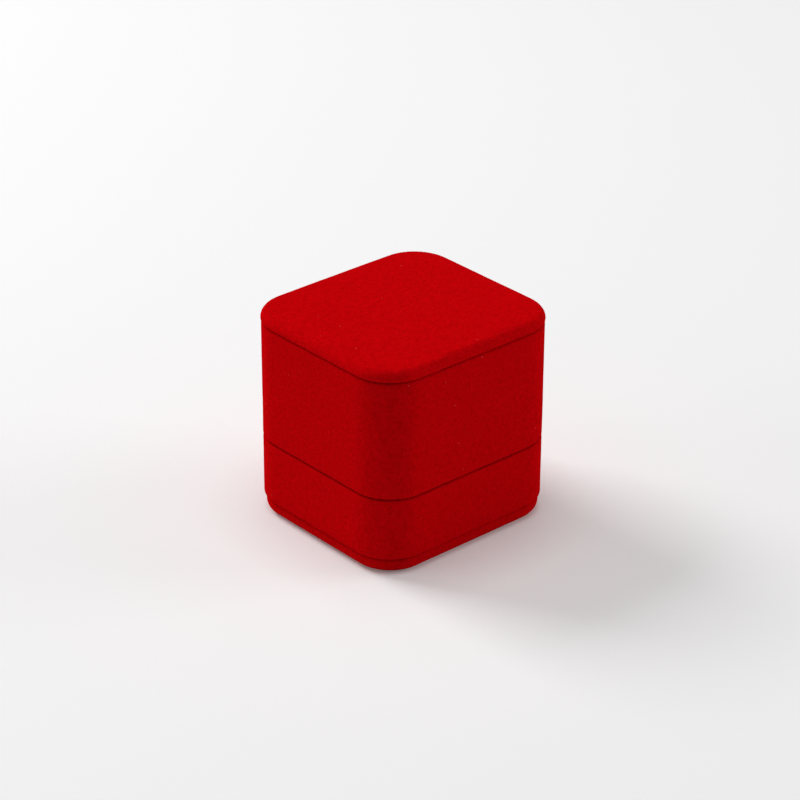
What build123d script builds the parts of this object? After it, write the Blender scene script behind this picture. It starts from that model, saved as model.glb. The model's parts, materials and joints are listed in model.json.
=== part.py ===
"""Hinged ring box: fabric-wrapped lid and base on a spring hinge, with a lift-out ring cushion.

Units are millimetres. +Z is up and the front faces -Y. The origin is the middle of the box's
outline at the height of the surface that it stands on. The hinge is on the back wall, +Y.
"""

import os

from build123d import *

# Outside of the closed box, over the top panel
width = 60.7
depth = 56.35
height = 57.9
corner_radius = 11.7
smallest_corner = 1.5  # of an outline inset past the corner's own radius
fillet_limit = 0.9  # largest share of a panel's thickness that its softened edge may take
seam_height = 21.8  # where the lid meets the base
lid_gap = 0.3  # height of the open line between lid and base
panel_gap = 0.15  # line between a wall cover and the top or bottom panel

# Layers of a wall, from the outside in
wall_inset = 0.35  # the top panel stands proud of the walls by this much
velvet = 0.6
glue = 0.05
shell_wall = 2.0
shell_floor = 2.0
turn_in = 5.0  # fabric folded over a rim and glued down inside
rim_edge_radius = 0.35  # of the fabric's fold over a rim
smallest_fold = 0.3  # inside radius of fabric turned round a panel's edge

# Top and bottom panels
top_panel = 3.0
top_edge_radius = 2.3
top_foam_height = 0.85
bottom_panel = 4.3
bottom_edge_radius = 2.6
bottom_inset = 0.4  # of the bottom panel, from the walls
panel_turn = 8.0  # fabric folded onto the hidden side of a panel

# Lift-out ring cushion
insert_clearance = 0.4
insert_board_height = 1.5
insert_rise = 4.0  # crown of the cushion above the lid seam
slot_width = 1.6  # gap that grips the ring
roll_edge_radius = 7.0
roll_corner = 10.0  # of the cushion's outline; the foam is softer at its corners than the board
roll_cover = 0.6

# Padded panel under the lid's ceiling
ceiling_board_height = 1.2
ceiling_foam_height = 3.0
ceiling_edge_radius = 2.6
satin = 0.35
ceiling_clearance = 0.3

# Spring hinge, in two stamped leaves on one pin
hinge_width = 30.0
centre_knuckle = 11.6
knuckle_gap = 0.2
barrel_radius = 1.5
hinge_clearance = 0.3
pin_radius = 0.8
pin_clearance = 0.05
leaf_thickness = 0.5
leaf_height = 9.0
cam_depth = 0.25  # of the flats on the lid's knuckle, where the spring bears
open_angle = 100.0
spring_thickness = 0.4
spring_clearance = 0.1
spring_foot = 3.6
rivet_spacing = 20.0
rivet_radius = 0.8
rivet_head_radius = 1.6
rivet_head = 0.2
rivet_inset = 2.0  # from a leaf's free edge to its rivets

# Levels and offsets that follow from the sizes above
axis_y = depth / 2 - wall_inset  # the hinge's axis lies in the back wall's outer face
wall_inner = wall_inset + velvet
shell_outer = wall_inner + glue
shell_inner = shell_outer + shell_wall
lining_outer = shell_inner + glue
lining_inner = lining_outer + velvet
base_rim = seam_height - lid_gap / 2
lid_rim = seam_height + lid_gap / 2
base_shell_rim = base_rim - velvet - glue
lid_shell_rim = lid_rim + velvet + glue
base_shell_foot = bottom_panel + glue
base_floor = base_shell_foot + shell_floor
insert_foot = base_floor + glue + velvet + glue
insert_top = seam_height + insert_rise
roll_foot = insert_foot + insert_board_height + glue
top_panel_foot = height - top_panel
lid_shell_top = top_panel_foot - glue
lid_ceiling = lid_shell_top - shell_floor
ceiling_pad_inset = lining_inner + ceiling_clearance
panel_inset = wall_inset + bottom_inset
leaf_inner = barrel_radius  # a leaf's front face, measured forward from the pin's axis
leaf_outer = leaf_inner - leaf_thickness
spring_outer = barrel_radius + spring_clearance
spring_inner = spring_outer + spring_thickness
relief_radius = spring_inner + hinge_clearance  # cut round the knuckles and the spring's tip
wall_reach = lining_inner - wall_inset  # from the hinge's axis through a wall and its lining
relief_width = hinge_width + 2 * hinge_clearance
base_rivet_height = seam_height - leaf_height + rivet_inset
lid_rivet_height = seam_height + leaf_height - rivet_inset


def slab(inset, low, high, mode=Mode.ADD, corner=0):
    """Rounded slab between two heights, its sides inset from the top panel's outline."""
    corner = corner or max(corner_radius - inset, smallest_corner)
    with BuildSketch(Plane.XY.offset(low)) as section:
        RectangleRounded(width - 2 * inset, depth - 2 * inset, corner)
    extrude(section.sketch, amount=high - low, dir=(0, 0, 1), mode=mode)


def bar(radius, length, mode=Mode.ADD):
    """Round bar on the hinge's axis, centred on the box."""
    with Locations((0, axis_y, seam_height)):
        Cylinder(radius, length, rotation=(0, 90, 0), mode=mode)


def block(x_size, front, back, low, high, mode=Mode.ADD):
    """Block centred on X. Its front and back faces are measured forward from the hinge's axis."""
    with Locations((0, axis_y - (front + back) / 2, (low + high) / 2)):
        Box(x_size, abs(front - back), abs(high - low), mode=mode)


def rivet_pins(level, radius, front, back, mode=Mode.ADD):
    """One round pin along Y at each of a leaf's two rivets."""
    with Locations((0, axis_y - (front + back) / 2, level)):
        with GridLocations(rivet_spacing, 1, 2, 1):
            Cylinder(radius, abs(front - back), rotation=(90, 0, 0), mode=mode)


def write(piece, name):
    """Labels a finished piece and writes it as one STEP file."""
    piece.part.label = name
    export_step(piece.part, f"parts/{name}.step")


def panel_blank(inset, low, high, edge_radius, edge_up):
    """Rounded slab with one softened edge, on its top or on its underside."""
    with BuildPart() as blank:
        slab(inset, low, high)
        rim = blank.edges().group_by(Axis.Z)[-1 if edge_up else 0]
        fillet(rim, min(edge_radius, fillet_limit * (high - low)))
    return blank.part


def wrapped_panel(inset, low, high, edge_radius, edge_up, cloth, turn):
    """Cloth wrapped round a panel and folded onto its hidden side, with room for what it holds."""
    inner_radius = max(edge_radius - cloth, smallest_fold)
    with BuildPart() as cover:
        add(panel_blank(inset, low, high, edge_radius, edge_up))
        add(
            panel_blank(inset + cloth, low + cloth, high - cloth, inner_radius, edge_up),
            mode=Mode.SUBTRACT,
        )
        if edge_up:
            slab(inset + turn, low, low + cloth + glue, mode=Mode.SUBTRACT)
        else:
            slab(inset + turn, high - cloth - glue, high, mode=Mode.SUBTRACT)
    return cover.part


def wall_wrap(free_edge, rim):
    """Fabric band round a wall, folded over the rim and down the inside of the wall."""
    inward = 1 if rim > free_edge else -1
    fold = rim - inward * velvet
    low, high = sorted((rim - inward * turn_in, fold))
    with BuildPart() as folded_edge:
        slab(lining_outer, low, high)
        slab(lining_inner, low, high, mode=Mode.SUBTRACT)
    with BuildPart() as wrap:
        slab(wall_inset, min(free_edge, rim), max(free_edge, rim))
        soft_edge = wrap.edges().group_by(Axis.Z)[-1 if rim > free_edge else 0]
        fillet(soft_edge, min(rim_edge_radius, fillet_limit * velvet))
        slab(wall_inner, min(free_edge, fold), max(free_edge, fold), mode=Mode.SUBTRACT)
        slab(lining_inner, min(free_edge, rim), max(free_edge, rim), mode=Mode.SUBTRACT)
        add(folded_edge.part)
        bar(relief_radius, relief_width, Mode.SUBTRACT)
    return wrap.part


def hinge_leaf(knuckles, side, rivet_level):
    """Stamped plate with knuckles rolled round the pin. side is 1 above the pin and -1 below."""
    plate_start = seam_height + side * (barrel_radius + hinge_clearance)
    plate_end = seam_height + side * leaf_height
    leaf_middle = (leaf_inner + leaf_outer) / 2
    hole_radius = rivet_radius + pin_clearance
    with BuildPart() as leaf:
        block(hinge_width, leaf_inner, leaf_outer, plate_start, plate_end)
        for start, end in knuckles:
            with BuildSketch(Plane.YZ.offset(start)) as curl:
                with Locations((axis_y, seam_height)):
                    Circle(barrel_radius)
                with Locations((axis_y - leaf_middle, (seam_height + plate_start) / 2)):
                    Rectangle(leaf_thickness, abs(plate_start - seam_height))
            extrude(curl.sketch, amount=end - start, dir=(1, 0, 0))
        bar(pin_radius + pin_clearance, relief_width, Mode.SUBTRACT)
        rivet_pins(rivet_level, hole_radius, leaf_inner + glue, leaf_outer - glue, Mode.SUBTRACT)
    return leaf.part


os.makedirs("parts", exist_ok=True)

# ---- Base ----

with BuildPart() as bottom_board:
    add(
        panel_blank(
            panel_inset + velvet + glue,
            velvet + glue,
            bottom_panel - velvet - glue,
            bottom_edge_radius - velvet - glue,
            edge_up=False,
        )
    )
write(bottom_board, "bottom_board")

with BuildPart() as bottom_cover:
    add(wrapped_panel(panel_inset, 0, bottom_panel, bottom_edge_radius, False, velvet, panel_turn))
write(bottom_cover, "bottom_cover")

with BuildPart() as base_shell:
    slab(shell_outer, base_shell_foot, base_shell_rim)
    slab(shell_inner, base_floor, base_shell_rim, mode=Mode.SUBTRACT)
    block(
        relief_width,
        spring_inner + glue,
        0,
        seam_height - leaf_height - hinge_clearance,
        base_rim,
        Mode.SUBTRACT,
    )
    bar(relief_radius, relief_width, Mode.SUBTRACT)
    rivet_pins(base_rivet_height, rivet_radius + pin_clearance, wall_reach, 0, Mode.SUBTRACT)
write(base_shell, "base_shell")

with BuildPart() as base_wall_cover:
    add(wall_wrap(bottom_panel + panel_gap, base_rim))
write(base_wall_cover, "base_wall_cover")

with BuildPart() as base_lining:
    slab(lining_outer, base_floor + glue, base_rim - turn_in - glue)
    slab(lining_inner, base_floor + glue, base_rim - turn_in - glue, mode=Mode.SUBTRACT)
write(base_lining, "base_lining")

with BuildPart() as base_floor_lining:
    slab(lining_inner + glue, base_floor + glue, base_floor + glue + velvet)
write(base_floor_lining, "base_floor_lining")

# ---- Lift-out ring cushion ----

insert_inset = lining_inner + insert_clearance
cushion_corner = max(roll_corner, corner_radius - insert_inset)

with BuildPart() as insert_board:
    slab(insert_inset, insert_foot, insert_foot + insert_board_height)
write(insert_board, "insert_board")


def cushion_roll(shrink):
    """The cushion as one rounded block, made smaller all round by shrink."""
    with BuildPart() as blank:
        slab(
            insert_inset + shrink,
            roll_foot + shrink,
            insert_top - shrink,
            corner=cushion_corner - shrink,
        )
        crown = blank.edges().group_by(Axis.Z)[-1]
        fillet(crown, min(roll_edge_radius, fillet_limit * cushion_corner) - shrink)
    return blank.part


def half_roll(blank, side, shrink):
    """One half of the cushion, rolled over into the slot. side is 1 behind it and -1 before it."""
    slot_face = side * (slot_width / 2 + shrink)
    with BuildPart() as half:
        add(blank)
        with Locations((0, slot_face - side * depth / 2, height / 2)):
            Box(width, depth, height, mode=Mode.SUBTRACT)
        lip = half.faces().filter_by(Axis.Y).sort_by(Axis.Y)[0 if side > 0 else -1]
        fillet(lip.edges().sort_by(Axis.Z)[-1], roll_edge_radius - shrink)
    return half.part


for side, place in ((-1, "front"), (1, "rear")):
    with BuildPart() as roll_foam:
        add(half_roll(cushion_roll(roll_cover + glue), side, roll_cover + glue))
    write(roll_foam, f"insert_{place}_foam")
    with BuildPart() as roll_velvet:
        add(half_roll(cushion_roll(0), side, 0))
        add(half_roll(cushion_roll(roll_cover), side, roll_cover), mode=Mode.SUBTRACT)
    write(roll_velvet, f"insert_{place}_cover")

# ---- Lid ----

with BuildPart() as lid_shell:
    slab(shell_outer, lid_shell_rim, lid_shell_top)
    slab(shell_inner, lid_shell_rim, lid_ceiling, mode=Mode.SUBTRACT)
    block(
        relief_width,
        leaf_inner + glue,
        0,
        lid_rim,
        seam_height + leaf_height + hinge_clearance,
        Mode.SUBTRACT,
    )
    bar(relief_radius, relief_width, Mode.SUBTRACT)
    rivet_pins(lid_rivet_height, rivet_radius + pin_clearance, wall_reach, 0, Mode.SUBTRACT)
write(lid_shell, "lid_shell")

with BuildPart() as lid_wall_cover:
    add(wall_wrap(top_panel_foot - panel_gap, lid_rim))
write(lid_wall_cover, "lid_wall_cover")

with BuildPart() as lid_lining:
    slab(lining_outer, lid_rim + turn_in + glue, lid_ceiling - glue)
    slab(lining_inner, lid_rim + turn_in + glue, lid_ceiling - glue, mode=Mode.SUBTRACT)
write(lid_lining, "lid_lining")

ceiling_top = lid_ceiling - glue
ceiling_board_foot = ceiling_top - satin - glue - ceiling_board_height
ceiling_foot = ceiling_board_foot - glue - ceiling_foam_height - glue - satin

with BuildPart() as ceiling_board:
    slab(
        ceiling_pad_inset + satin + glue,
        ceiling_board_foot,
        ceiling_board_foot + ceiling_board_height,
    )
write(ceiling_board, "ceiling_board")

with BuildPart() as ceiling_foam:
    add(
        panel_blank(
            ceiling_pad_inset + satin + glue,
            ceiling_foot + satin + glue,
            ceiling_board_foot - glue,
            ceiling_edge_radius - satin - glue,
            edge_up=False,
        )
    )
write(ceiling_foam, "ceiling_foam")

with BuildPart() as ceiling_cover:
    add(
        wrapped_panel(
            ceiling_pad_inset,
            ceiling_foot,
            ceiling_top,
            ceiling_edge_radius,
            False,
            satin,
            panel_turn,
        )
    )
write(ceiling_cover, "ceiling_cover")

top_foam_foot = height - velvet - glue - top_foam_height

top_filling = panel_blank(
    velvet + glue,
    top_panel_foot + velvet + glue,
    height - velvet - glue,
    top_edge_radius - velvet - glue,
    edge_up=True,
)

with BuildPart() as top_board:
    add(top_filling)
    split(bisect_by=Plane.XY.offset(top_foam_foot - glue), keep=Keep.BOTTOM)
write(top_board, "top_board")

with BuildPart() as top_foam:
    add(top_filling)
    split(bisect_by=Plane.XY.offset(top_foam_foot), keep=Keep.TOP)
write(top_foam, "top_foam")

with BuildPart() as top_cover:
    add(wrapped_panel(0, top_panel_foot, height, top_edge_radius, True, velvet, panel_turn))
write(top_cover, "top_cover")

# ---- Hinge ----

centre_half = centre_knuckle / 2
outer_start = centre_half + knuckle_gap
hinge_half = hinge_width / 2

with BuildPart() as hinge_base_leaf:
    add(hinge_leaf([(-hinge_half, -outer_start), (outer_start, hinge_half)], -1, base_rivet_height))
write(hinge_base_leaf, "hinge_base_leaf")

with BuildPart() as hinge_lid_leaf:
    add(hinge_leaf([(-centre_half, centre_half)], 1, lid_rivet_height))
    for turn in (0, open_angle):
        with Locations(Location((0, axis_y, seam_height), (turn, 0, 0))):
            with Locations((0, cam_depth - 1.5 * barrel_radius, -barrel_radius / 2 - glue)):
                Box(centre_knuckle, barrel_radius, barrel_radius, mode=Mode.SUBTRACT)
write(hinge_lid_leaf, "hinge_lid_leaf")

with BuildPart() as hinge_pin:
    bar(pin_radius, hinge_width)
write(hinge_pin, "hinge_pin")

with BuildPart() as hinge_spring:
    spring_low = seam_height - leaf_height
    block(hinge_width, spring_inner, spring_outer, spring_low, spring_low + spring_foot)
    block(
        centre_knuckle - 2 * knuckle_gap,
        spring_inner,
        spring_outer,
        spring_low + spring_foot,
        base_rim,
    )
    rivet_pins(
        base_rivet_height,
        rivet_radius + pin_clearance,
        spring_inner + glue,
        spring_outer - glue,
        Mode.SUBTRACT,
    )
write(hinge_spring, "hinge_spring")

for place, level in (("base", base_rivet_height), ("lid", lid_rivet_height)):
    with BuildPart() as leaf_rivets:
        rivet_pins(level, rivet_radius, shell_inner - wall_inset, leaf_outer)
        rivet_pins(level, rivet_head_radius, leaf_outer, leaf_outer - rivet_head)
    write(leaf_rivets, f"{place}_leaf_rivets")
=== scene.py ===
"""Velvet ring box: fabric, padding, finishes and studio around the box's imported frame.

Sizes are in metres. +Z is up, the front faces -Y and the hinge is on the back, +Y.
"""

import json
import math

import bmesh
import bpy
from bpy.props import FloatProperty, FloatVectorProperty, PointerProperty
from bpy.types import Operator, Panel, PropertyGroup
from mathutils import Matrix, Vector, noise


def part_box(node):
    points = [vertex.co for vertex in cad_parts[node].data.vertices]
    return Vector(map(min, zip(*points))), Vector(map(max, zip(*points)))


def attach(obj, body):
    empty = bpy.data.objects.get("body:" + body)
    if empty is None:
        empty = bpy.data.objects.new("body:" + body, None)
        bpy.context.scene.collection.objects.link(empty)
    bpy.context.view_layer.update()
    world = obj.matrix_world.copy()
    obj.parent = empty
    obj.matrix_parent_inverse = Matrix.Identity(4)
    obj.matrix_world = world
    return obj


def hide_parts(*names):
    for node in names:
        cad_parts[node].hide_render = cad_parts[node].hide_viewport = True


bl_info = {
    "name": "Velvet Ring Box",
    "version": (1, 0, 0),
    "blender": (4, 5, 0),
    "location": "View3D > Sidebar > Ring Box",
    "description": "Builds the fabric, padding and finishes of a hinged velvet ring box",
    "category": "Object",
}

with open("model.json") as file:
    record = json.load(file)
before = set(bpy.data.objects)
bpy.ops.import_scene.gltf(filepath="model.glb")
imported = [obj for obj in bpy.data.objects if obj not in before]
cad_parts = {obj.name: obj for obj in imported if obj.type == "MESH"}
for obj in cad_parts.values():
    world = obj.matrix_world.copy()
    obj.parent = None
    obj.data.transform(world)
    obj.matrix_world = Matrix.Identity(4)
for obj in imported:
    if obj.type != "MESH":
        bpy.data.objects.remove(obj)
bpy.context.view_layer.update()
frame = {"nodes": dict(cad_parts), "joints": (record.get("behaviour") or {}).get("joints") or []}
NODES = frame["nodes"]
MM = 0.001

# ---- Sizes read from the frame ----

CAP_LOW, CAP_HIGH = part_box("top_cover")
OUTLINE = (CAP_HIGH.x - CAP_LOW.x, CAP_HIGH.y - CAP_LOW.y)
HINGE_AXIS = Vector(next(j["pos_m"] for j in frame["joints"] if j["name"] == "lid_hinge"))
CORNER = 11.7 * MM  # radius of the top panel's outline
NOTCH_RADIUS = 2.3 * MM  # room for the hinge's knuckles
NOTCH_WIDTH = 30.6 * MM
FREE_EDGE = 0.5 * MM  # rounding of a wall's velvet where it ends beside a panel
LINING_EDGE = 0.2 * MM
LAST_RING = 1.5 * MM  # half the depth of the small face that closes a flat side


def inset_of(node):
    """How far a piece's sides stand inside the top panel's outline."""
    return CAP_HIGH.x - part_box(node)[1].x


# ---- Settings ----


class RingBoxSizes(PropertyGroup):
    cloth: FloatProperty(
        name="Velvet thickness",
        description="Thickness of the velvet with its pile",
        default=0.6 * MM,
        unit="LENGTH",
    )
    nap: FloatProperty(
        name="Nap",
        description="How far the pile of the walls stands out from its cloth",
        default=0.2 * MM,
        unit="LENGTH",
    )
    rim_softness: FloatProperty(
        name="Rim softness",
        description="Radius of the velvet's fold over a rim",
        default=0.6 * MM,
        unit="LENGTH",
    )
    top_edge: FloatProperty(
        name="Top edge radius",
        description="Radius of the padded top panel's upper edge",
        default=2.3 * MM,
        unit="LENGTH",
    )
    top_crown: FloatProperty(
        name="Top crown",
        description="How far the padded top swells above its edge",
        default=0.15 * MM,
        unit="LENGTH",
    )
    bottom_edge: FloatProperty(
        name="Bottom edge radius",
        description="Radius of the bottom panel's lower edge",
        default=2.6 * MM,
        unit="LENGTH",
    )
    hem: FloatProperty(
        name="Panel hem",
        description="Velvet folded onto the hidden side of a panel",
        default=8.0 * MM,
        unit="LENGTH",
    )
    turn_in: FloatProperty(
        name="Wall hem",
        description="Velvet folded over a wall's rim and glued inside",
        default=5.0 * MM,
        unit="LENGTH",
    )
    unevenness: FloatProperty(
        name="Unevenness",
        description="How far glued velvet wanders from a flat face",
        default=0.05 * MM,
        unit="LENGTH",
    )


class RingBoxColours(PropertyGroup):
    outer_velvet: FloatVectorProperty(
        name="Outer velvet",
        description="Velvet on the outside of the box",
        subtype="COLOR",
        default=(0.57, 0.0008, 0.0026),
        min=0.0,
        max=1.0,
    )
    lining_velvet: FloatVectorProperty(
        name="Lining velvet",
        description="Flocked lining of the walls and floor",
        subtype="COLOR",
        default=(0.50, 0.003, 0.006),
        min=0.0,
        max=1.0,
    )
    cushion_velvet: FloatVectorProperty(
        name="Cushion velvet",
        description="Velvet on the two rolls that hold the ring",
        subtype="COLOR",
        default=(0.52, 0.003, 0.006),
        min=0.0,
        max=1.0,
    )
    satin: FloatVectorProperty(
        name="Satin",
        description="Satin on the pad under the lid",
        subtype="COLOR",
        default=(0.60, 0.01, 0.015),
        min=0.0,
        max=1.0,
    )
    foam: FloatVectorProperty(
        name="Foam",
        description="Foam inside the pads and rolls",
        subtype="COLOR",
        default=(0.85, 0.84, 0.80),
        min=0.0,
        max=1.0,
    )
    greyboard: FloatVectorProperty(
        name="Greyboard",
        description="Board inside the panels",
        subtype="COLOR",
        default=(0.45, 0.42, 0.38),
        min=0.0,
        max=1.0,
    )
    moulded_plastic: FloatVectorProperty(
        name="Moulded shell",
        description="Moulded shells of the lid and base",
        subtype="COLOR",
        default=(0.05, 0.05, 0.055),
        min=0.0,
        max=1.0,
    )
    hinge_steel: FloatVectorProperty(
        name="Hinge steel",
        description="Plated steel of the hinge",
        subtype="COLOR",
        default=(0.72, 0.70, 0.66),
        min=0.0,
        max=1.0,
    )
    floor: FloatVectorProperty(
        name="Floor",
        description="Pale studio floor",
        subtype="COLOR",
        default=(0.90, 0.90, 0.905),
        min=0.0,
        max=1.0,
    )


# ---- Shader building ----


class Shader:
    """A principled material with short calls for the nodes that feed it."""

    def __init__(self, name, roughness, specular=0.5, metallic=0.0):
        self.material = bpy.data.materials.new(name)
        self.material.use_nodes = True
        self.tree = self.material.node_tree
        self.surface = self.tree.nodes["Principled BSDF"]
        self.set("Roughness", roughness)
        self.set("Specular IOR Level", specular)
        self.set("Metallic", metallic)
        self.place = self.tree.nodes.new("ShaderNodeTexCoord").outputs["Object"]

    def set(self, socket, value):
        self.surface.inputs[socket].default_value = value

    def link(self, source, target):
        self.tree.links.new(source, target)

    def stretched(self, scale):
        """Object coordinates scaled by a different amount along each axis."""
        node = self.tree.nodes.new("ShaderNodeMapping")
        node.inputs["Scale"].default_value = scale
        self.link(self.place, node.inputs["Vector"])
        return node.outputs["Vector"]

    def noise(self, feature, detail=2.0, roughness=0.5, place=None):
        """Soft noise whose patches are about one feature across."""
        node = self.tree.nodes.new("ShaderNodeTexNoise")
        node.inputs["Scale"].default_value = 1.0 / feature
        node.inputs["Detail"].default_value = detail
        node.inputs["Roughness"].default_value = roughness
        self.link(place or self.place, node.inputs["Vector"])
        return node.outputs["Fac"]

    def cells(self, feature, output="Distance"):
        """Cell pattern with cells about one feature across."""
        node = self.tree.nodes.new("ShaderNodeTexVoronoi")
        node.inputs["Scale"].default_value = 1.0 / feature
        self.link(self.place, node.inputs["Vector"])
        return node.outputs[output]

    def remap(self, value, low, high, to_low=0.0, to_high=1.0):
        node = self.tree.nodes.new("ShaderNodeMapRange")
        for socket, number in zip(
            ("From Min", "From Max", "To Min", "To Max"), (low, high, to_low, to_high)
        ):
            node.inputs[socket].default_value = number
        self.link(value, node.inputs["Value"])
        return node.outputs["Result"]

    def math(self, operation, first, second):
        node = self.tree.nodes.new("ShaderNodeMath")
        node.operation = operation
        for socket, value in zip(node.inputs, (first, second)):
            if isinstance(value, (int, float)):
                socket.default_value = value
            else:
                self.link(value, socket)
        return node.outputs["Value"]

    def blend(self, amount, first, second):
        """Mixes two colours, each an RGB triple or a socket."""
        node = self.tree.nodes.new("ShaderNodeMix")
        node.data_type = "RGBA"
        self.link(amount, node.inputs["Factor"])
        # inputs 6 and 7 and output 2 are the node's colour sockets
        for socket, colour in ((node.inputs[6], first), (node.inputs[7], second)):
            if isinstance(colour, bpy.types.NodeSocket):
                self.link(colour, socket)
            else:
                socket.default_value = (*colour, 1.0)
        return node.outputs[2]

    def colour(self, source):
        self.link(source, self.surface.inputs["Base Color"])

    def bump(self, height, depth, strength=1.0, under=None):
        """Bump of one height pattern, laid over another bump if one is given."""
        node = self.tree.nodes.new("ShaderNodeBump")
        node.inputs["Distance"].default_value = depth
        node.inputs["Strength"].default_value = strength
        self.link(height, node.inputs["Height"])
        if under is not None:
            self.link(under, node.inputs["Normal"])
        self.link(node.outputs["Normal"], self.surface.inputs["Normal"])
        return node.outputs["Normal"]


def shade(colour, factor):
    return tuple(min(c * factor, 1.0) for c in colour)


def velvet(name, colour, grain, lint, sheen):
    """Short dense pile: crisp flecks, patches where the pile lies another way, and stray lint."""
    s = Shader(name, roughness=1.0, specular=0.0)
    s.set("Sheen Weight", sheen)
    s.set("Sheen Roughness", 0.5)
    s.set("Sheen Tint", (1.0, 0.004, 0.008, 1.0))
    fibres = s.noise(grain, detail=4.0, roughness=0.75)
    clumps = s.noise(grain * 3.0, detail=2.0)
    lay = s.noise(9 * MM, detail=3.0)
    mottle = s.remap(
        s.math("ADD", s.math("MULTIPLY", fibres, 0.7), s.math("MULTIPLY", clumps, 0.3)),
        0.38,
        0.62,
    )
    pile = s.blend(mottle, shade(colour, 0.78), shade(colour, 1.20))
    soft = s.remap(lay, 0.35, 0.65, 0.0, 0.16)
    tone = s.blend(soft, pile, shade(colour, 0.86))
    speck = s.math("LESS_THAN", s.cells(2.6 * MM), 0.03)
    rare = s.math("GREATER_THAN", s.noise(3.4 * MM, detail=0.0), 1.0 - lint)
    tone = s.blend(s.math("MULTIPLY", speck, rare), tone, (0.80, 0.30, 0.28))
    s.colour(tone)
    under = s.bump(clumps, 0.12 * MM, 0.6)
    s.bump(fibres, 0.13 * MM, 1.0, under)
    return s.material


def satin(name, colour):
    """Close satin weave with long floats across the pad."""
    s = Shader(name, roughness=0.38, specular=0.55)
    s.set("Sheen Weight", 0.15)
    s.set("Sheen Tint", (1.0, 0.4, 0.4, 1.0))
    s.set("Anisotropic", 0.5)
    threads = s.noise(0.16 * MM, detail=1.0, place=s.stretched((0.12, 1.0, 1.0)))
    drift = s.noise(7 * MM, detail=2.0)
    tone = s.blend(s.remap(threads, 0.3, 0.7), shade(colour, 0.84), shade(colour, 1.12))
    s.colour(s.blend(s.remap(drift, 0.3, 0.7, 0.0, 0.35), tone, shade(colour, 0.88)))
    s.link(s.remap(drift, 0.3, 0.7, 0.32, 0.46), s.surface.inputs["Roughness"])
    s.bump(threads, 0.03 * MM, 0.5)
    return s.material


def foam(name, colour):
    """Open-cell foam, with painted shade darkening each pore's hollow."""
    s = Shader(name, roughness=0.95, specular=0.2)
    pores = s.cells(0.45 * MM)
    # painted shade: darker towards the middle of each pore, where the hollow is
    s.colour(s.blend(s.remap(pores, 0.1, 0.6), shade(colour, 0.62), colour))
    s.bump(pores, 0.18 * MM, 0.8)
    return s.material


def greyboard(name, colour):
    """Raw recycled board with fibres and flecks."""
    s = Shader(name, roughness=0.9, specular=0.25)
    fibres = s.noise(0.5 * MM, detail=5.0, place=s.stretched((0.35, 1.0, 1.0)))
    tone = s.blend(s.remap(fibres, 0.3, 0.7), shade(colour, 0.78), shade(colour, 1.15))
    fleck = s.math("LESS_THAN", s.cells(1.7 * MM), 0.09)
    s.colour(s.blend(fleck, tone, shade(colour, 0.45)))
    s.bump(fibres, 0.06 * MM, 0.6)
    return s.material


def plastic(name, colour):
    """Moulded polystyrene with a fine spark-eroded texture."""
    s = Shader(name, roughness=0.5, specular=0.45)
    texture = s.noise(0.22 * MM, detail=2.0)
    flow = s.noise(14 * MM, detail=2.0)
    s.colour(s.blend(flow, shade(colour, 0.85), shade(colour, 1.2)))
    s.link(s.remap(flow, 0.3, 0.7, 0.42, 0.58), s.surface.inputs["Roughness"])
    s.bump(texture, 0.03 * MM, 0.6)
    return s.material


def plated_steel(name, colour):
    """Nickel-plated strip, drawn lengthwise, with light handling marks."""
    s = Shader(name, roughness=0.28, metallic=1.0)
    drawn = s.noise(0.12 * MM, detail=2.0, place=s.stretched((0.04, 1.0, 1.0)))
    worn = s.noise(2.5 * MM, detail=4.0)
    s.colour(s.blend(s.remap(worn, 0.3, 0.75), shade(colour, 1.05), shade(colour, 0.82)))
    s.link(s.remap(drawn, 0.3, 0.7, 0.20, 0.40), s.surface.inputs["Roughness"])
    s.bump(drawn, 0.01 * MM, 0.4)
    return s.material


MAKERS = {
    "outer_velvet": lambda n, c: velvet(n, c, 0.36 * MM, 0.40, 0.22),
    "lining_velvet": lambda n, c: velvet(n, c, 0.34 * MM, 0.10, 0.22),
    "cushion_velvet": lambda n, c: velvet(n, c, 0.38 * MM, 0.12, 0.25),
    "satin": satin,
    "foam": foam,
    "greyboard": greyboard,
    "moulded_plastic": plastic,
    "hinge_steel": plated_steel,
}


def finish_of(slot):
    """The material of one slot, made the first time that a piece asks for it."""
    name = "ringbox_" + slot
    if name not in bpy.data.materials:
        colour = tuple(getattr(bpy.context.scene.ringbox_colours, slot))
        MAKERS[slot](name, colour)
    return bpy.data.materials[name]


def dress(slot, *nodes):
    """Gives frame pieces that stay as they are their finish."""
    for node in nodes:
        piece = NODES[node]
        if not piece.material_slots:
            piece.data.materials.append(None)
        for place in piece.material_slots:
            place.material = finish_of(slot)


# ---- Mesh building ----

CORNER_STEPS = 14
SIDE_STEPS = 22
SMALLEST_CORNER = 1.2 * MM


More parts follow.
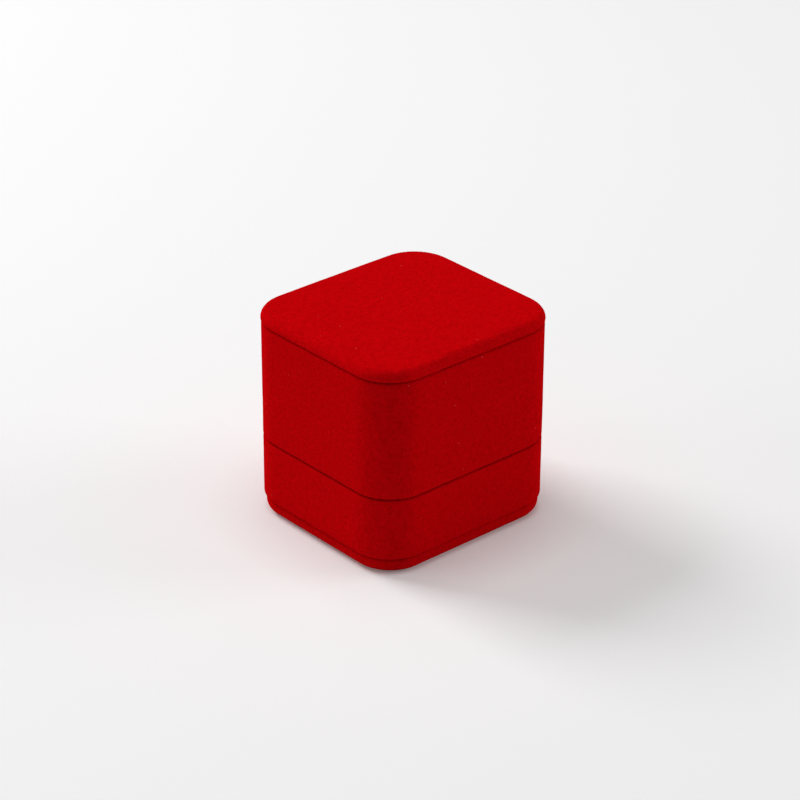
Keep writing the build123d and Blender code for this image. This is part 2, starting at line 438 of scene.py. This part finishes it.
class Outline:
    """A rounded rectangle whose points know where they go at any inset."""

    def __init__(self, bm, size, corner, centre=(0.0, 0.0)):
        self.size, self.corner, self.centre = size, corner, centre
        made = bmesh.ops.create_grid(bm, x_segments=1, y_segments=1, size=0.5)
        verts = made["verts"]
        bmesh.ops.scale(bm, vec=(*size, 1.0), verts=verts)
        bmesh.ops.bevel(
            bm,
            geom=verts,
            offset=corner,
            segments=CORNER_STEPS,
            profile=0.5,
            affect="VERTICES",
            material=-1,
        )
        long_edges = [e for e in bm.edges if e.calc_length() > 0.5 * corner]
        bmesh.ops.subdivide_edges(bm, edges=long_edges, cuts=SIDE_STEPS)
        bmesh.ops.delete(bm, geom=bm.faces[:], context="FACES_ONLY")
        half = Vector((size[0] / 2 - corner, size[1] / 2 - corner))
        self.ring = {}
        for v in bm.verts:
            inner = Vector(
                [max(-h, min(h, c)) for h, c in zip(half, (v.co.x, v.co.y))]
            )
            outward = (Vector((v.co.x, v.co.y)) - inner).normalized()
            self.ring[v] = (inner.x / half.x, inner.y / half.y, outward)
        self.edges = bm.edges[:]

    def place(self, inset, height):
        """Moves the current ring to an inset and a height."""
        corner = max(self.corner - inset, SMALLEST_CORNER)
        half = [s / 2 - inset - corner for s in self.size]
        for v, (u, w, outward) in self.ring.items():
            v.co = (
                self.centre[0] + u * half[0] + outward.x * corner,
                self.centre[1] + w * half[1] + outward.y * corner,
                height,
            )

    def extend(self, bm):
        """Extrudes the current ring; the copy becomes the current one."""
        made = bmesh.ops.extrude_edge_only(bm, edges=self.edges)["geom"]
        fresh = {g for g in made if isinstance(g, bmesh.types.BMVert)}
        ring = {}
        for v in fresh:
            old = next(o for o in (e.other_vert(v) for e in v.link_edges) if o in self.ring)
            ring[v] = self.ring[old]
        self.ring = ring
        self.edges = [
            g
            for g in made
            if isinstance(g, bmesh.types.BMEdge) and all(v in fresh for v in g.verts)
        ]


def arc(centre, radius, start, end, steps=6):
    """Points of an arc in a wall's section, as (inset, height). Angles are in degrees."""
    points = []
    for k in range(steps + 1):
        a = math.radians(start + (end - start) * k / steps)
        points.append((centre[0] - radius * math.cos(a), centre[1] + radius * math.sin(a)))
    return points


def run(start, end, pitch=1.6 * MM):
    """Evenly spaced points between two, without the ends."""
    length = math.hypot(end[0] - start[0], end[1] - start[1])
    steps = max(int(length / pitch), 1)
    return [
        tuple(a + (b - a) * k / steps for a, b in zip(start, end)) for k in range(1, steps)
    ]


def path(*stretches):
    """Joins stretches of a section, filling the straights between them."""
    points = list(stretches[0])
    for stretch in stretches[1:]:
        points += run(points[-1], stretch[0]) + list(stretch)
    return [
        b for a, b in zip([None] + points, points) if a is None or math.dist(a, b) > 0.01 * MM
    ]


def sweep(name, section, size=OUTLINE, corner=CORNER, centre=(0.0, 0.0), closed=True):
    """Takes a section round a rounded rectangle.

    closed is "loop" to join the section's two ends, True for a face at each end, or False for a
    face at the last end alone.
    """
    bm = bmesh.new()
    outline = Outline(bm, size, corner, centre)
    outline.place(*section[0])
    first = outline.edges
    for point in section[1:]:
        outline.extend(bm)
        outline.place(*point)
    if closed == "loop":
        bmesh.ops.bridge_loops(bm, edges=first + outline.edges)
    elif closed:
        bmesh.ops.contextual_create(bm, geom=first)
        bmesh.ops.contextual_create(bm, geom=outline.edges)
    else:
        bmesh.ops.contextual_create(bm, geom=outline.edges)
    bmesh.ops.recalc_face_normals(bm, faces=bm.faces[:])
    return finish_mesh(bm, name)


def finish_mesh(bm, name):
    for face in bm.faces:
        face.smooth = True
    mesh = bpy.data.meshes.new(name)
    bm.to_mesh(mesh)
    bm.free()
    piece = bpy.data.objects.new(name, mesh)
    bpy.context.scene.collection.objects.link(piece)
    return piece


def ruffle(piece, depth, feature, keep=None):
    """Moves points in and out a little, as glued fabric does. keep says which heights stay put."""
    bm = bmesh.new()
    bm.from_mesh(piece.data)
    bm.normal_update()
    for v in bm.verts:
        if keep is None or not keep(v.co):
            v.co += v.normal * depth * noise.noise(v.co / feature)
    bm.to_mesh(piece.data)
    bm.free()


def settle(piece):
    """Applies a piece's modifiers to its mesh."""
    view = bpy.context.evaluated_depsgraph_get()
    mesh = bpy.data.meshes.new_from_object(piece.evaluated_get(view))
    piece.modifiers.clear()
    piece.data = mesh


def thicken(piece, thickness):
    """Gives a skin its thickness, inwards."""
    solid = piece.modifiers.new("thickness", "SOLIDIFY")
    solid.thickness = thickness
    solid.offset = -1.0
    settle(piece)


def cut_hinge_notch(piece):
    """Cuts the room for the hinge's knuckles out of a wall's velvet."""
    bm = bmesh.new()
    bmesh.ops.create_cone(
        bm,
        cap_ends=True,
        segments=48,
        radius1=NOTCH_RADIUS,
        radius2=NOTCH_RADIUS,
        depth=NOTCH_WIDTH,
        matrix=Matrix.Translation(HINGE_AXIS) @ Matrix.Rotation(math.pi / 2, 4, "Y"),
    )
    tool = finish_mesh(bm, "notch")
    cut = piece.modifiers.new("notch", "BOOLEAN")
    cut.operation = "DIFFERENCE"
    cut.solver = "EXACT"
    cut.object = tool
    settle(piece)
    bpy.data.objects.remove(tool)


def own(piece, body, slot, *nodes):
    """Gives a piece its material, the body that it moves with and the nodes it stands for."""
    piece.data.materials.clear()
    piece.data.materials.append(finish_of(slot))
    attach(piece, body)
    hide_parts(*nodes)
    return piece


def wall_band(name, node, rim_up, sizes):
    """Velvet band round a wall, folded over the rim and down its inside."""
    low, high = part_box(node)
    cloth, soft = sizes.cloth, sizes.rim_softness
    outer = inset_of(node) - sizes.nap
    inner = inset_of("base_lining") + cloth
    sign = 1.0 if rim_up else -1.0
    rim, free = (high.z, low.z) if rim_up else (low.z, high.z)
    hem_end = rim - sign * sizes.turn_in

    def lifted(points):
        return [(inset, rim + sign * drop) for inset, drop in points]

    def to_free(drop):
        return sign * (free - rim) + drop

    section = path(
        lifted([(outer + FREE_EDGE, to_free(0.0))]),
        lifted([(outer + 0.3 * FREE_EDGE, to_free(0.3 * FREE_EDGE))]),
        lifted([(outer, to_free(FREE_EDGE))]),
        lifted(arc((outer + soft, -soft), soft, 0.0, 90.0)),
        lifted(arc((inner - soft, -soft), soft, 90.0, 180.0)),
        [(inner, hem_end), (inner - cloth, hem_end)],
        lifted([(inner - cloth, -cloth), (outer + cloth, -cloth)]),
        lifted([(outer + cloth, to_free(0.0))]),
    )
    piece = sweep(name, section, closed="loop")
    ruffle(piece, sizes.unevenness, 7 * MM, keep=lambda co: abs(co.z - free) < 0.3 * MM)
    cut_hinge_notch(piece)
    return piece


class RINGBOX_OT_outer_walls(Operator):
    """Wraps the walls of the lid and the base in velvet."""

    bl_idname = "ringbox.outer_walls"
    bl_label = "Outer walls"

    def execute(self, context):
        sizes = context.scene.ringbox_sizes
        for name, node, body, rim_up in (
            ("base_wall_velvet", "base_wall_cover", "base", True),
            ("lid_wall_velvet", "lid_wall_cover", "lid", False),
        ):
            own(wall_band(name, node, rim_up, sizes), body, "outer_velvet", node)
        return {"FINISHED"}


class RINGBOX_OT_top_panel(Operator):
    """Makes the padded velvet panel on top of the lid."""

    bl_idname = "ringbox.top_panel"
    bl_label = "Top panel"

    def execute(self, context):
        sizes = context.scene.ringbox_sizes
        low, high = CAP_LOW.z, CAP_HIGH.z
        edge, under = sizes.top_edge, 0.7 * MM
        shoulder = edge + 10 * MM
        middle = OUTLINE[1] / 2 - LAST_RING

        def crown(inset):
            t = min(max((inset - edge) / shoulder, 0.0), 1.0)
            return high + sizes.top_crown * (1 - (1 - t) ** 2)

        section = path(
            [(sizes.hem, low), (under, low)],
            arc((under, low + under), under, -90.0, 0.0),
            arc((edge, high - edge), edge, 0.0, 90.0, steps=10),
        )
        inward = run(section[-1], (middle, high), pitch=1.1 * MM)
        section += [(inset, crown(inset)) for inset, _ in inward] + [(middle, crown(middle))]
        piece = sweep("top_panel_velvet", section, closed=False)
        ruffle(piece, sizes.unevenness, 9 * MM, keep=lambda co: co.z < low + under)
        thicken(piece, sizes.cloth)
        own(piece, "lid", "outer_velvet", "top_cover")
        return {"FINISHED"}


class RINGBOX_OT_bottom_panel(Operator):
    """Makes the velvet panel that the box stands on."""

    bl_idname = "ringbox.bottom_panel"
    bl_label = "Bottom panel"

    def execute(self, context):
        sizes = context.scene.ringbox_sizes
        low, high = (corner.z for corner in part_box("bottom_cover"))
        side = inset_of("bottom_cover")
        edge, over = sizes.bottom_edge, 1.0 * MM
        middle = OUTLINE[1] / 2 - LAST_RING
        section = path(
            [(side + sizes.hem, high), (side + over, high)],
            arc((side + over, high - over), over, 90.0, 0.0),
            arc((side + edge, low + edge), edge, 0.0, -90.0, steps=10),
            [(middle, low)],
        )
        piece = sweep("bottom_panel_velvet", section, closed=False)
        ruffle(
            piece,
            sizes.unevenness,
            9 * MM,
            keep=lambda co: co.z < low + 0.3 * MM or co.z > high - over,
        )
        thicken(piece, sizes.cloth)
        own(piece, "base", "outer_velvet", "bottom_cover")
        return {"FINISHED"}


class RINGBOX_OT_linings(Operator):
    """Lines the walls and the floor with flocked velvet."""

    bl_idname = "ringbox.linings"
    bl_label = "Linings"

    def execute(self, context):
        sizes = context.scene.ringbox_sizes
        for name, node, body in (
            ("base_wall_lining", "base_lining", "base"),
            ("lid_wall_lining", "lid_lining", "lid"),
        ):
            low, high = (corner.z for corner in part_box(node))
            outer = inset_of(node)
            inner = outer + sizes.cloth
            soft = LINING_EDGE
            section = path(
                [(outer, low), (inner - soft, low)],
                [(inner, low + soft), (inner, high - soft)],
                [(inner - soft, high), (outer, high)],
            )
            piece = sweep(name, section, closed="loop")
            ruffle(piece, sizes.unevenness / 2, 6 * MM)
            own(piece, body, "lining_velvet", node)
        low, high = (corner.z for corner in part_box("base_floor_lining"))
        side = inset_of("base_floor_lining")
        middle = OUTLINE[1] / 2 - LAST_RING
        soft = LINING_EDGE
        section = path(
            [(middle, low), (side + soft, low)],
            [(side, low + soft), (side, high - soft)],
            [(side + soft, high), (middle, high)],
        )
        floor = sweep("base_floor_velvet", section)
        own(floor, "base", "lining_velvet", "base_floor_lining")
        return {"FINISHED"}


# ---- Padding ----

ENLARGED = 10.0  # fabric is simulated this much larger, where the solver is steady
CLOTH_FRAMES = 20


def inflate(piece, voxel, pressure, reach, shrink):
    """Blows a closed skin up like a stuffed cover, with each point within reach of its start."""
    piece.data.transform(Matrix.Scale(ENLARGED, 4))
    remesh = piece.modifiers.new("remesh", "REMESH")
    remesh.mode = "VOXEL"
    remesh.voxel_size = voxel * ENLARGED
    settle(piece)
    start = [v.co.copy() for v in piece.data.vertices]
    cloth = piece.modifiers.new("cloth", "CLOTH")
    rules = cloth.settings
    rules.quality = 6
    rules.mass = 0.3
    rules.tension_stiffness = 12.0
    rules.compression_stiffness = 12.0
    rules.shear_stiffness = 5.0
    rules.bending_stiffness = 0.4
    rules.use_pressure = True
    rules.uniform_pressure_force = pressure
    rules.shrink_min = shrink
    rules.effector_weights.gravity = 0.0
    cloth.point_cache.frame_end = CLOTH_FRAMES
    scene = bpy.context.scene
    for number in range(1, CLOTH_FRAMES + 1):
        scene.frame_set(number)
    view = bpy.context.evaluated_depsgraph_get()
    moved = [v.co.copy() for v in piece.evaluated_get(view).data.vertices]
    piece.modifiers.clear()
    drift = sum((b - a for a, b in zip(start, moved)), Vector()) / len(start)
    limit = reach * ENLARGED
    for vert, a, b in zip(piece.data.vertices, start, moved):
        step = b - a - drift
        if step.length > limit:
            step *= limit / step.length
        vert.co = a + step
    scene.frame_set(1)
    piece.data.transform(Matrix.Scale(1.0 / ENLARGED, 4))
    for face in piece.data.polygons:
        face.use_smooth = True
    smooth = piece.modifiers.new("smooth", "SMOOTH")
    smooth.factor = 0.5
    smooth.iterations = 3
    finer = piece.modifiers.new("finer", "SUBSURF")
    finer.levels = finer.render_levels = 1
    settle(piece)


def fit_between(piece, low, high):
    """Scales a piece to fill a box along each axis."""
    corners = [Vector(c) for c in piece.bound_box]
    size_low = Vector(min(c[k] for c in corners) for k in range(3))
    size_high = Vector(max(c[k] for c in corners) for k in range(3))
    spans = [
        (high[k] - low[k]) / max(size_high[k] - size_low[k], 1e-9) for k in range(3)
    ]
    scale = Matrix.Diagonal((*spans, 1.0))
    piece.data.transform(
        Matrix.Translation((low + high) / 2)
        @ scale
        @ Matrix.Translation(-(size_low + size_high) / 2)
    )


class RINGBOX_OT_ring_cushion(Operator):
    """Makes the two velvet rolls that grip the ring."""

    bl_idname = "ringbox.ring_cushion"
    bl_label = "Ring cushion"

    def execute(self, context):
        for name, node, stuffing in (
            ("front_roll_velvet", "insert_front_cover", "insert_front_foam"),
            ("rear_roll_velvet", "insert_rear_cover", "insert_rear_foam"),
        ):
            low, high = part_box(node)
            size = (high.x - low.x, high.y - low.y)
            centre = ((low.x + high.x) / 2, (low.y + high.y) / 2)
            crown, foot = 6.6 * MM, 1.6 * MM
            middle = size[1] / 2 - 1.0 * MM
            section = path(
                [(middle, low.z)],
                arc((foot, low.z + foot), foot, -90.0, 0.0),
                arc((crown, high.z - crown), crown, 0.0, 82.0, steps=12),
                [(middle, high.z)],
            )
            piece = sweep(name, section, size, 9.0 * MM, centre)
            inflate(piece, 0.75 * MM, 3.0, 1.2 * MM, -0.06)
            fit_between(piece, low, high)
            ruffle(piece, 0.12 * MM, 5 * MM)
            own(piece, "ring_cushion", "cushion_velvet", node, stuffing)
        return {"FINISHED"}


class RINGBOX_OT_ceiling_pad(Operator):
    """Makes the satin pad under the lid's ceiling."""

    bl_idname = "ringbox.ceiling_pad"
    bl_label = "Ceiling pad"

    def execute(self, context):
        low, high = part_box("ceiling_cover")
        size = (high.x - low.x, high.y - low.y)
        corner = CORNER - inset_of("ceiling_cover")
        edge = 2.6 * MM
        middle = size[1] / 2 - LAST_RING
        section = path(
            [(middle, high.z), (0.4 * MM, high.z)],
            [(0.0, high.z - 0.4 * MM)],
            arc((edge, low.z + edge), edge, 0.0, -82.0, steps=10),
            [(middle, low.z)],
        )
        piece = sweep("ceiling_puff_satin", section, size, corner)
        inflate(piece, 0.8 * MM, 2.0, 0.9 * MM, -0.10)
        fit_between(piece, low, high)
        own(piece, "lid", "satin", "ceiling_cover", "ceiling_foam")
        return {"FINISHED"}


class RINGBOX_OT_fillings(Operator):
    """Gives the boards and foam inside the panels their finish."""

    bl_idname = "ringbox.fillings"
    bl_label = "Boards and foam"

    def execute(self, context):
        dress("greyboard", "bottom_board", "insert_board", "ceiling_board", "top_board")
        dress("foam", "top_foam")
        return {"FINISHED"}


class RINGBOX_OT_shells(Operator):
    """Gives the moulded shells their finish."""

    bl_idname = "ringbox.shells"
    bl_label = "Moulded shells"

    def execute(self, context):
        dress("moulded_plastic", "base_shell", "lid_shell")
        return {"FINISHED"}


class RINGBOX_OT_hinge(Operator):
    """Gives the leaves, pin, spring and rivets their plating."""

    bl_idname = "ringbox.hinge"
    bl_label = "Spring hinge"

    def execute(self, context):
        dress(
            "hinge_steel",
            "hinge_base_leaf",
            "hinge_lid_leaf",
            "hinge_pin",
            "hinge_spring",
            "base_leaf_rivets",
            "lid_leaf_rivets",
        )
        return {"FINISHED"}


# ---- Studio ----

CAMERA_TURN = math.radians(-41.41)
CAMERA_RISE = math.radians(27.81)
CAMERA_ROLL = math.radians(0.2)
CAMERA_AWAY = 771.8 * MM
CAMERA_SLIDE = (-0.579 * MM, 27.72 * MM)
CAMERA_LENS = 130.94
FLOOR_LIFT = 0.09  # how much brighter the floor looks than the light on it
LIGHT_DISTANCE = 1.6
STUDIO_LIGHTS = (  # name, direction, size in metres, power in watts
    ("overhead_softbox", (0.0, 0.0, 1.0), 1.0, 8.8),
    ("key_softbox", (-0.20, 0.75, 0.65), 0.7, 14.2),
    ("left_softbox", (-0.85, 0.50, 0.20), 0.8, 3.2),
    ("right_softbox", (0.80, -0.55, 0.22), 0.8, 8.4),
)


def softbox(name, direction, size, power):
    """A square area light aimed at the middle of the box."""
    aim = Vector((0.0, 0.0, CAP_HIGH.z / 2))
    away = Vector(direction).normalized()
    data = bpy.data.lights.new(name, "AREA")
    data.shape = "SQUARE"
    data.size = size
    data.energy = power
    lamp = bpy.data.objects.new(name, data)
    lamp.location = aim + away * LIGHT_DISTANCE
    lamp.rotation_mode = "QUATERNION"
    lamp.rotation_quaternion = away.to_track_quat("Z", "Y")
    bpy.context.scene.collection.objects.link(lamp)
    return lamp


class RINGBOX_OT_stage(Operator):
    """Makes the floor, the studio lights and the camera."""

    bl_idname = "ringbox.stage"
    bl_label = "Studio"

    def execute(self, context):
        scene = context.scene
        scene.view_settings.view_transform = "Standard"
        self.floor(scene)
        self.light(scene)
        self.camera(scene)
        return {"FINISHED"}

    def floor(self, scene):
        bm = bmesh.new()
        bmesh.ops.create_grid(bm, x_segments=8, y_segments=8, size=2.5)
        floor = finish_mesh(bm, "studio_floor")
        s = Shader("studio_floor", roughness=0.9, specular=0.1)
        pale = tuple(scene.ringbox_colours.floor)
        s.colour(s.blend(s.noise(120 * MM), shade(pale, 0.995), pale))
        rays = s.tree.nodes.new("ShaderNodeLightPath")
        seen = s.math("MAXIMUM", rays.outputs["Is Camera Ray"], rays.outputs["Is Glossy Ray"])
        seen = s.math("MAXIMUM", seen, rays.outputs["Is Transmission Ray"])
        s.set("Emission Color", (1.0, 1.0, 1.0, 1.0))
        s.link(s.math("MULTIPLY", seen, FLOOR_LIFT), s.surface.inputs["Emission Strength"])
        floor.data.materials.append(s.material)

    def light(self, scene):
        world = bpy.data.worlds.new("studio_air")
        world.use_nodes = True
        tree = world.node_tree
        air = tree.nodes["Background"]
        air.inputs["Color"].default_value = (1.0, 1.0, 1.0, 1.0)
        air.inputs["Strength"].default_value = 0.16
        seen = tree.nodes.new("ShaderNodeBackground")
        seen.inputs["Color"].default_value = (1.0, 1.0, 1.0, 1.0)
        seen.inputs["Strength"].default_value = 0.97
        choose = tree.nodes.new("ShaderNodeMixShader")
        rays = tree.nodes.new("ShaderNodeLightPath")
        tree.links.new(rays.outputs["Is Camera Ray"], choose.inputs["Fac"])
        tree.links.new(air.outputs["Background"], choose.inputs[1])
        tree.links.new(seen.outputs["Background"], choose.inputs[2])
        tree.links.new(choose.outputs["Shader"], tree.nodes["World Output"].inputs["Surface"])
        scene.world = world
        for light in STUDIO_LIGHTS:
            softbox(*light)

    def camera(self, scene):
        back = Vector(
            (
                math.sin(CAMERA_TURN) * math.cos(CAMERA_RISE),
                -math.cos(CAMERA_TURN) * math.cos(CAMERA_RISE),
                math.sin(CAMERA_RISE),
            )
        )
        right = Vector((math.cos(CAMERA_TURN), math.sin(CAMERA_TURN), 0.0))
        up = back.cross(right)
        across = math.cos(CAMERA_ROLL) * right + math.sin(CAMERA_ROLL) * up
        above = math.cos(CAMERA_ROLL) * up - math.sin(CAMERA_ROLL) * right
        data = bpy.data.cameras.new("studio_camera")
        data.sensor_width = 36.0
        data.lens = CAMERA_LENS
        data.clip_start, data.clip_end = 0.01, 20.0
        camera = bpy.data.objects.new("studio_camera", data)
        place = CAMERA_SLIDE[0] * across + CAMERA_SLIDE[1] * above + CAMERA_AWAY * back
        turn = Matrix((across, above, back)).transposed().to_4x4()
        camera.matrix_world = Matrix.Translation(place) @ turn
        scene.collection.objects.link(camera)
        scene.camera = camera


# ---- Panel and registration ----

STEPS = (
    RINGBOX_OT_outer_walls,
    RINGBOX_OT_top_panel,
    RINGBOX_OT_bottom_panel,
    RINGBOX_OT_linings,
    RINGBOX_OT_ring_cushion,
    RINGBOX_OT_ceiling_pad,
    RINGBOX_OT_fillings,
    RINGBOX_OT_shells,
    RINGBOX_OT_hinge,
    RINGBOX_OT_stage,
)


class RINGBOX_PT_steps(Panel):
    """Lists the sizes, the colours and the pieces of the ring box."""

    bl_idname = "RINGBOX_PT_steps"
    bl_label = "Ring Box"
    bl_space_type = "VIEW_3D"
    bl_region_type = "UI"
    bl_category = "Ring Box"

    def draw(self, context):
        layout = self.layout
        for group in (context.scene.ringbox_sizes, context.scene.ringbox_colours):
            column = layout.column(align=True)
            for name in group.__annotations__:
                column.prop(group, name)
        for step in STEPS:
            layout.operator(step.bl_idname)


CLASSES = (RingBoxSizes, RingBoxColours, *STEPS, RINGBOX_PT_steps)


def register():
    for cls in CLASSES:
        bpy.utils.register_class(cls)
    bpy.types.Scene.ringbox_sizes = PointerProperty(type=RingBoxSizes)
    bpy.types.Scene.ringbox_colours = PointerProperty(type=RingBoxColours)


def unregister():
    del bpy.types.Scene.ringbox_colours
    del bpy.types.Scene.ringbox_sizes
    for cls in reversed(CLASSES):
        bpy.utils.unregister_class(cls)


def main():
    register()
    bpy.ops.ringbox.outer_walls()
    bpy.ops.ringbox.top_panel()
    bpy.ops.ringbox.bottom_panel()
    bpy.ops.ringbox.linings()
    bpy.ops.ringbox.ring_cushion()
    bpy.ops.ringbox.ceiling_pad()
    bpy.ops.ringbox.fillings()
    bpy.ops.ringbox.shells()
    bpy.ops.ringbox.hinge()
    bpy.ops.ringbox.stage()


if __name__ == "__main__":
    main()
